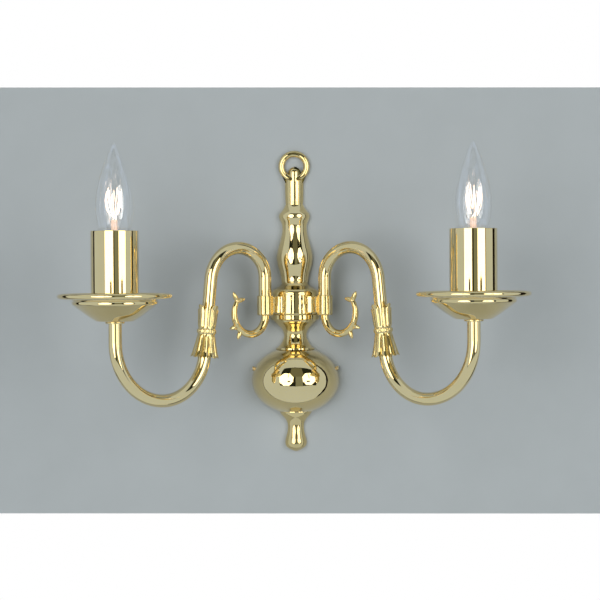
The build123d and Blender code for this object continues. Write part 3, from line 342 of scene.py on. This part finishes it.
# radius and height: the foot and underside out to the lip, then the lip and upper face back in
PAN_FOOT = [(PAN_BORE, 0), (14.9, 0)]
PAN_UNDER = [
    (15.6, 0.25), (16.5, 0.75), (22.4, 4.5), (28.2, 8.8), (33.4, 12.7), (34.4, 13.5), (34.9, 14.2), (35.0, 15.4),
    (35.4, 16.3), (37.2, 17.0), (40.5, 17.6), (43.8, 18.0), (45.6, 18.5), (46.6, 19.3), (46.98, 20.4),
]
PAN_OVER = [
    (46.75, 21.5), (46.0, 22.35), (45.0, 22.78), (44.0, 22.6), (42.2, 21.2), (38.1, 18.6), (35.2, 17.5),
    (33.9, 16.6), (33.1, 14.4), (32.0, 13.7), (25.7, 11.0), (21.5, 8.9), (18.6, 6.9), (16.4, 4.1), (15.1, 1.6),
]
PAN_FLOOR = [(14.6, 1.2), (PAN_BORE, 1.2)]

GLASS_Z = 104.9
GLASS_FACETS = 96
GLASS_STEPS = 4
GLASS_PROFILE = [
    (9.9, 0), (10.1, 1.5), (10.6, 4.0), (12.6, 9.0), (14.9, 15.0), (16.5, 21.5), (17.35, 28.0), (17.5, 33.5),
    (17.1, 39.5), (16.0, 46.5), (14.2, 53.5), (11.8, 60.5), (9.0, 67.5), (6.1, 74.0), (3.9, 78.5), (2.0, 81.8),
    (1.1, 83.0), (0.7, 83.6), (0.25, 83.95),
]

VASE_Z = 73.6
VASE_WALL = 2.0
VASE_FACETS = 72
VASE_PROFILE = [
    (11.5, 0), (11.95, 1.4), (12.1, 4.2), (12.8, 7.7), (13.8, 11.2), (14.7, 14.6), (15.4, 18.1), (15.8, 21.6),
    (15.6, 25.0), (14.95, 28.5), (14.0, 32.0), (12.6, 37.1), (11.3, 42.3), (10.8, 45.8), (10.8, 48.6),
    (11.15, 50.7), (12.0, 52.7), (12.9, 54.5), (13.45, 56.2), (13.6, 57.9), (13.2, 59.7), (12.0, 61.4),
    (10.6, 63.1), (9.4, 64.8), (8.5, 66.4), (8.1, 67.4),
]

LEAF_WAIST = (73.84, -61.96, 33.8)
LEAF_TILT = radians(6.3)
LEAF_HALF = 22.0  # from the waist to each end
LEAF_FACETS = 192
LEAF_ROWS = 72  # in each half
LEAF_TURN = radians(5.0)
LEAVES = 4
LEAF_LEAST_R = TUBE_R + 0.5
# The two halves of the leaf: outline as (height, radius), how far the notches between the tips reach back, where
# the pleats start, depth of the pleats and what they gain towards the end, depth of the folds, flare of the tips.
CUP = {
    "outline": [(0.0, 7.7), (1.5, 7.9), (2.4, 7.2), (5.0, 7.4), (9.0, 7.7), (14.0, 8.0), (18.0, 8.4), (22.0, 9.2)],
    "notch": 3.6, "start": 2.2, "pleat": 0.95, "gain": 0.0, "fold": 0.16, "flare": 0.5,
}
BELL = {
    "outline": [(0.0, 7.7), (1.5, 7.9), (2.6, 7.2), (6.0, 7.7), (10.0, 8.5), (14.0, 9.4), (18.0, 10.2), (22.0, 11.3)],
    "notch": 2.4, "start": 2.4, "pleat": 0.8, "gain": 1.1, "fold": 0.18, "flare": 0.3,
}
PLEAT_FADE = 2.5  # length over which the pleats rise to their depth
POINT_POWER, HEM_POWER = 0.7, 0.8  # how round the tips are
PLEAT_POWER, PLEAT_LEVEL = 0.55, 0.75
FOLD_POWER, FOLD_LEVEL, FOLD_SHIFT = 0.8, 0.6, 0.6
BEAD_HALF, BEAD_RISE, BEAD_POWER = 1.5, 0.42, 0.6  # half height of the waist's band of beads, their relief and shape
BEAD_WAVES = 12
# inside of each end: radius deep in it, thickness of its edge, and how far in the edge and the deep part stand
CUP_INSIDE, BELL_INSIDE = TUBE_R + 0.35, 1.28 * TUBE_R
LEAF_EDGE = 0.9
LEAF_EDGE_STEP, LEAF_DEPTH = 0.1, 7.0

FILAMENT_Z = 125.9
STRANDS = 11
STRAND_R = 0.15
STRAND_STEPS = 14
LEAD_R = 0.3
LEAD_STEPS = 8
LEAD_REACH = 1.2
WIRE_SIDES = 6
# where the hooks stand: ranges of reach from the axis and of height
HIGH_HOOKS = ((4.6, 7.2), (21.5, 27.2))
LOW_HOOKS = ((1.8, 5.2), (1.2, 7.0))
HOOK_DRIFT = 0.12
BOW = (0.15, 0.6)
CHANCE_SEEDS = {"left": 11, "right": 7}


def new_piece(name, vertices, faces, slot, node, sharp=40.0):
    """Smooth piece in millimetres that stands for a node, rides on its body and takes its finish."""
    mesh = bpy.data.meshes.new(name)
    mesh.from_pydata([tuple(MM * c for c in v) for v in vertices], [], faces)
    mesh.shade_smooth()
    mesh.set_sharp_from_angle(angle=radians(sharp))
    mesh.materials.append(MATERIALS[slot])
    piece = bpy.data.objects.new(name, mesh)
    scene.collection.objects.link(piece)
    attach(piece, body_of(NODES[node])[0])
    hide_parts(node)


def smooth_line(points, steps):
    """Points on a smooth curve through given ones."""
    line = []
    for i in range(len(points) - 1):
        before, start, end, after = (points[max(0, min(k, len(points) - 1))] for k in (i - 1, i, i + 1, i + 2))
        for k in range(steps):
            t = k / steps
            line.append(tuple(
                b + 0.5 * t * (c - a + t * (2 * a - 5 * b + 4 * c - d + t * (3 * (b - c) + d - a)))
                for a, b, c, d in zip(before, start, end, after)
            ))
    return line + [points[-1]]


def band(first, second, count):
    """Quads between two rings of count points, given by each ring's first point."""
    return [(first + k, first + (k + 1) % count, second + (k + 1) % count, second + k) for k in range(count)]


def ring_faces(rows, count, closed=False):
    """Quads between rows of count points each; closed joins the last row to the first."""
    faces = []
    for i in range(rows if closed else rows - 1):
        faces += band(i * count, (i + 1) % rows * count, count)
    return faces


def turned(profile, x, y, z, count):
    """Points of a profile (radius, height) turned about an upright axis."""
    turns = [2 * pi * k / count for k in range(count)]
    return [(x + r * cos(a), y + r * sin(a), z + h) for r, h in profile for a in turns]


def drip_pan(name, side):
    """Spun pan: flat foot, straight cone, step and rolled lip."""
    profile = smooth_line(PAN_UNDER, PROFILE_STEPS) + smooth_line(PAN_OVER, PROFILE_STEPS) + PAN_FLOOR + PAN_FOOT
    points = turned(profile, side * PAN_X, PAN_Y, PAN_Z, PAN_FACETS)
    faces = ring_faces(len(profile), PAN_FACETS, closed=True)
    new_piece(f"{name}_pan_shell", points, faces, "polished_brass", f"{name}_drip_pan")


def bulb(name, side):
    """One skin of blown glass, drawn out to the pip where the tube was sealed."""
    profile = smooth_line(GLASS_PROFILE, GLASS_STEPS)
    points = turned(profile, side * PAN_X, PAN_Y, GLASS_Z, GLASS_FACETS)
    faces = ring_faces(len(profile), GLASS_FACETS)
    new_piece(f"{name}_bulb_skin", points, faces, "clear_glass", f"{name}_lamp_glass", sharp=80.0)


def between(table, h):
    """Radius at a height, from a table of (height, radius)."""
    for (h0, r0), (h1, r1) in zip(table, table[1:]):
        if h <= h1:
            return r0 + (r1 - r0) * (h - h0) / (h1 - h0)
    return table[-1][1]


def leaf_outside(half, share, turn):
    """Height from the waist and radius of the leaf, at a share of one half's length."""
    wave = cos(LEAVES * turn)
    tip = max(0.0, wave) ** POINT_POWER if half is CUP else abs(wave) ** HEM_POWER
    pleat = abs(wave) ** PLEAT_POWER - PLEAT_LEVEL
    fold = abs(cos(2 * LEAVES * turn + FOLD_SHIFT)) ** FOLD_POWER - FOLD_LEVEL
    height = share * (LEAF_HALF - half["notch"] * (1 - tip) * share ** 3)
    relief = (half["pleat"] + half["gain"] * share) * pleat + half["fold"] * fold + half["flare"] * tip * share ** 6
    radius = between(half["outline"], height)
    radius += min(1.0, max(0.0, (height - half["start"]) / PLEAT_FADE)) * relief
    if height < BEAD_HALF:
        bead = cos(0.5 * pi * height / BEAD_HALF) ** BEAD_POWER
        radius += BEAD_RISE * abs(cos(BEAD_WAVES * turn)) * bead
    return height, max(radius, LEAF_LEAST_R)


def leaf(name, side):
    """Cast leaf: four pointed leaves above a beaded waist, and a pleated bell with a wavy hem below."""
    along = Vector((side * cos(ARM_ANGLE), -sin(ARM_ANGLE), 0))
    behind = Vector((side * sin(ARM_ANGLE), cos(ARM_ANGLE), 0))
    up = Vector((0, 0, cos(LEAF_TILT))) - sin(LEAF_TILT) * along
    across = cos(LEAF_TILT) * along + Vector((0, 0, sin(LEAF_TILT)))
    waist = Vector((side * LEAF_WAIST[0], LEAF_WAIST[1], LEAF_WAIST[2]))
    turns = [2 * pi * k / LEAF_FACETS for k in range(LEAF_FACETS)]
    vertices = []

    def put(angle, radius, height):
        vertices.append(waist + radius * cos(angle) * across + radius * sin(angle) * behind + height * up)

    for row in range(-LEAF_ROWS, LEAF_ROWS + 1):
        for angle in turns:
            height, radius = leaf_outside(CUP if row >= 0 else BELL, abs(row) / LEAF_ROWS, angle + LEAF_TURN)
            put(angle, radius, height if row >= 0 else -height)
    faces = ring_faces(2 * LEAF_ROWS + 1, LEAF_FACETS)

    top = 2 * LEAF_ROWS * LEAF_FACETS
    for rim, inside, sign in ((top, CUP_INSIDE, 1), (0, BELL_INSIDE, -1)):
        edge = len(vertices)
        for deep in (0, 1):
            for k, angle in enumerate(turns):
                out = vertices[rim + k] - waist
                height = out.dot(up)
                radius = inside if deep else (out - height * up).length - LEAF_EDGE
                put(angle, radius, height - sign * (LEAF_EDGE_STEP + deep * LEAF_DEPTH))
        ends = band(rim, edge, LEAF_FACETS) + band(edge, edge + LEAF_FACETS, LEAF_FACETS)
        faces += ends if sign > 0 else [quad[::-1] for quad in ends]
    new_piece(f"{name}_cast_leaf", vertices, faces, "cast_brass", f"{name}_leaf", sharp=30.0)


def wire(vertices, faces, path, radius):
    """Adds a thin wire along points."""
    base = len(vertices)
    for i, point in enumerate(path):
        ahead = (path[min(i + 1, len(path) - 1)] - path[max(i - 1, 0)]).normalized()
        first = ahead.orthogonal().normalized()
        second = ahead.cross(first)
        for k in range(WIRE_SIDES):
            a = 2 * pi * k / WIRE_SIDES
            vertices.append(point + radius * (cos(a) * first + sin(a) * second))
    for i in range(len(path) - 1):
        faces += band(base + i * WIRE_SIDES, base + (i + 1) * WIRE_SIDES, WIRE_SIDES)


def filament_cage(name, side):
    """Coiled filament: bowed runs of wire between low and high hooks around the stem, on two lead wires."""
    axis = Vector((side * PAN_X, PAN_Y, FILAMENT_Z))
    chance = Random(CHANCE_SEEDS[name])
    vertices, faces = [], []
    stops = []
    for i in range(2 * STRANDS):
        turn = pi * i / STRANDS + chance.uniform(-HOOK_DRIFT, HOOK_DRIFT)
        reach, height = (chance.uniform(*limits) for limits in (HIGH_HOOKS if i % 2 else LOW_HOOKS))
        stops.append(axis + Vector((reach * cos(turn), reach * sin(turn), height)))
    path = []
    for start, end in zip(stops, stops[1:]):
        outward = (0.5 * (start + end) - axis) * Vector((1, 1, 0))
        bow = chance.uniform(*BOW)
        for k in range(STRAND_STEPS):
            t = k / STRAND_STEPS
            path.append(start.lerp(end, t) + 4 * t * (1 - t) * bow * outward)
    path.append(stops[-1])
    wire(vertices, faces, path, STRAND_R)
    for offset, stop in ((-LEAD_REACH, path[0]), (LEAD_REACH, path[-1])):
        foot = axis + Vector((offset, 0, 0))
        wire(vertices, faces, [foot.lerp(stop, k / LEAD_STEPS) for k in range(LEAD_STEPS + 1)], LEAD_R)
    new_piece(f"{name}_filament_cage", vertices, faces, "filament", f"{name}_lamp_filament", sharp=60.0)


def vase():
    """Half vase with the bead over its throat, cast hollow and open to the wall."""
    outside = smooth_line(VASE_PROFILE, PROFILE_STEPS)
    loop = outside + [(r - VASE_WALL, h) for r, h in reversed(outside)]
    size = len(loop)
    turns = [pi + pi * k / VASE_FACETS for k in range(VASE_FACETS + 1)]
    vertices = [(r * cos(a), r * sin(a), VASE_Z + h) for a in turns for r, h in loop]
    faces = []
    for k in range(VASE_FACETS):
        a, b = k * size, (k + 1) * size
        faces += [(a + i, b + i, b + (i + 1) % size, a + (i + 1) % size) for i in range(size)]
    for end in (0, VASE_FACETS * size):
        for i in range(len(outside) - 1):
            quad = (end + i, end + i + 1, end + size - 2 - i, end + size - 1 - i)
            faces.append(quad if end == 0 else quad[::-1])
    new_piece("vase_casting", vertices, faces, "polished_brass", "vase", sharp=32.0)


vase()
for side_name, side_sign in SIDES.items():
    drip_pan(side_name, side_sign)
    bulb(side_name, side_sign)
    leaf(side_name, side_sign)
    filament_cage(side_name, side_sign)


# ---------------------------------------------------------------- studio
REFLECTED_ONLY = {"camera": False, "diffuse": False, "transmission": False, "shadow": False}
CORNERS = ((-1, -1), (1, -1), (1, 1), (-1, 1))


def flat_card(name, corners, material, **seen):
    """Flat stage card with given corners; seen tells which rays meet it."""
    mesh = bpy.data.meshes.new(name)
    mesh.from_pydata(corners, [], [tuple(range(len(corners)))])
    mesh.materials.append(material)
    card = bpy.data.objects.new(name, mesh)
    scene.collection.objects.link(card)
    for ray, shown in seen.items():
        setattr(card, "visible_" + ray, shown)


def upright(left, right, bottom, top):
    """Corners of an upright card between two points in plan."""
    return [(*left, bottom), (*right, bottom), (*right, top), (*left, top)]


def painted(name, colour):
    """Matt paint with a faint drift of tint."""
    made = Recipe(name)
    made.set(Roughness=0.9, Specular_IOR_Level=0.1)
    made.colour(made.blend(made.noise(scale=30.0), tuple(0.97 * c for c in colour), colour))
    return made


def glowing(name, colour, strength=1.0):
    """Even glow that needs no light on it."""
    made = Recipe(name)
    made.show(made.glow(colour, strength))
    return made.material


def wall_paint():
    """Grey paint that is white to the camera above and below the grey part, and clear from behind."""
    made = painted("wall", WALL_COLOUR)
    height = made.add("ShaderNodeVectorMath", operation="DOT_PRODUCT")
    height.inputs[1].default_value = (-sin(CAMERA_ROLL), 0.0, cos(CAMERA_ROLL))
    made.link(made.place, height.inputs[0])
    below = made.reckon("LESS_THAN", height.outputs["Value"], GREY_BOTTOM)
    above = made.reckon("GREATER_THAN", height.outputs["Value"], GREY_TOP)
    camera_ray = made.add("ShaderNodeLightPath").outputs["Is Camera Ray"]
    white = made.reckon("MULTIPLY", made.reckon("MAXIMUM", below, above), camera_ray)
    front = made.mix(white, made.shader.outputs["BSDF"], made.glow((1.0, 1.0, 1.0)))
    behind = made.add("ShaderNodeNewGeometry").outputs["Backfacing"]
    made.show(made.mix(behind, front, made.add("ShaderNodeBsdfTransparent").outputs["BSDF"]))
    return made.material


def floor_paint():
    """Pale matt floor that metal and glass see as bright as the room."""
    made = painted("floor", FLOOR_COLOUR)
    path = made.add("ShaderNodeLightPath")
    floor = made.mix(path.outputs["Is Glossy Ray"], made.shader.outputs["BSDF"], made.glow(ROOM_COLOUR))
    share = made.reckon("MULTIPLY", path.outputs["Is Camera Ray"], FLOOR_GLOW_SHARE)
    made.show(made.mix(share, floor, made.glow(FLOOR_COLOUR)))
    return made.material


def softbox(name):
    """Lamp for the light itself, and a glowing octagon with its dark stand for the reflections."""
    azimuth, elevation, distance, half_width, half_height = SOFTBOXES[name]
    turn, lift = radians(azimuth), radians(elevation)
    away = Vector((sin(turn) * cos(lift), -cos(turn) * cos(lift), sin(lift)))
    centre = SOFTBOX_AIM + distance * away
    across = Vector((cos(turn), sin(turn), 0.0))
    up = across.cross(away)
    lamp = bpy.data.lights.new(name, "AREA")
    lamp.shape = "ELLIPSE"
    lamp.size = 2 * half_width
    lamp.size_y = 2 * half_height
    area = pi * half_width * half_height
    lamp.energy = SOFTBOX_LIGHT * pi * area
    lamp.color = SOFTBOX_COLOUR
    made = bpy.data.objects.new(name, lamp)
    made.location = centre
    made.rotation_euler = (-away).to_track_quat("-Z", "Y").to_euler()
    for ray in ("camera", "glossy", "transmission"):
        setattr(made, "visible_" + ray, False)
    scene.collection.objects.link(made)

    def at(u, v, nearer=0.0):
        return centre + u * half_width * across + v * half_height * up - nearer * away

    half_side = pi / SOFTBOX_SIDES
    turns = [half_side * (2 * k + 1) for k in range(SOFTBOX_SIDES)]
    octagon = [at(cos(a) / cos(half_side), sin(a) / cos(half_side)) for a in turns]
    flat_card(name + "_glow", octagon, glowing(name + "_glow", SOFTBOX_COLOUR, SOFTBOX_GLOW), **REFLECTED_ONLY)
    for k, (u, v, half_u, half_v) in enumerate(SOFTBOX_SHADES[name]):
        corners = [at(u + i * half_u, v + j * half_v, SHADE_GAP) for i, j in CORNERS]
        flat_card(f"{name}_shade_{k}", corners, glowing(f"{name}_shade_{k}", GAP_COLOUR), **REFLECTED_ONLY)


def wall_board():
    """Wall with an opening behind the hollow castings, so that they are lit when they are seen from behind."""
    rows = [(WALL_BOTTOM, 0.0), *WALL_OPENING, (WALL_TOP, 0.0)]
    vertices, faces = [], []
    for side in SIDES.values():
        first = len(vertices)
        vertices += [(side * x, 0.0, z) for z, half in rows for x in (half, WALL_HALF_WIDTH)]
        for i in range(first, len(vertices) - 2, 2):
            quad = (i, i + 1, i + 3, i + 2)
            faces.append(quad if side > 0 else quad[::-1])
    mesh = bpy.data.meshes.new("wall")
    mesh.from_pydata(vertices, [], faces)
    mesh.materials.append(wall_paint())
    wall = bpy.data.objects.new("wall", mesh)
    scene.collection.objects.link(wall)


def studio():
    wall_board()
    flat_card("floor", [(i * FLOOR_HALF, j * FLOOR_HALF, FLOOR_Z) for i, j in CORNERS], floor_paint())
    gap = glowing("gap", GAP_COLOUR)
    for name, (near, far) in (("left_gap", GAP_LEFT), ("right_gap", GAP_RIGHT)):
        flat_card(name, upright(near, far, WALL_BOTTOM, WALL_TOP), gap, **REFLECTED_ONLY)
    for name, (left, right, low, high, away, colour) in CLOTHS.items():
        corners = upright((right, -away), (left, -away), low, high)
        flat_card(name, corners, glowing(name, colour), camera=False, shadow=False)
    for name in SOFTBOXES:
        softbox(name)


def room():
    """Even pale room, dimmer as a light, and a plain grey where the camera sees past the cards."""
    world = bpy.data.worlds.new("room")
    scene.world = world
    world.use_nodes = True
    tree = world.node_tree
    tree.nodes.clear()
    shades = []
    for colour in (ROOM_COLOUR, ROOM_LIGHT, GREY_BEHIND):
        shade = tree.nodes.new("ShaderNodeBackground")
        shade.inputs["Color"].default_value = (*colour, 1)
        shades.append(shade.outputs["Background"])
    path = tree.nodes.new("ShaderNodeLightPath")
    shown = shades[0]
    for ray, shade in (("Is Diffuse Ray", shades[1]), ("Is Camera Ray", shades[2])):
        either = tree.nodes.new("ShaderNodeMixShader")
        tree.links.new(path.outputs[ray], either.inputs["Fac"])
        tree.links.new(shown, either.inputs[1])
        tree.links.new(shade, either.inputs[2])
        shown = either.outputs["Shader"]
    output = tree.nodes.new("ShaderNodeOutputWorld")
    tree.links.new(shown, output.inputs["Surface"])


def camera():
    data = bpy.data.cameras.new("camera")
    data.sensor_width = SENSOR
    data.lens = SENSOR * FOCAL_PIXELS / IMAGE_PIXELS
    data.clip_start = NEAREST_SEEN
    made = bpy.data.objects.new("camera", data)
    made.location = CAMERA_AT
    look = Euler((pi / 2 + CAMERA_PITCH, 0, CAMERA_YAW)).to_matrix() @ Euler((0, 0, CAMERA_ROLL)).to_matrix()
    made.rotation_euler = look.to_euler()
    scene.collection.objects.link(made)
    scene.camera = made


studio()
room()
camera()
scene.view_settings.view_transform = "Standard"
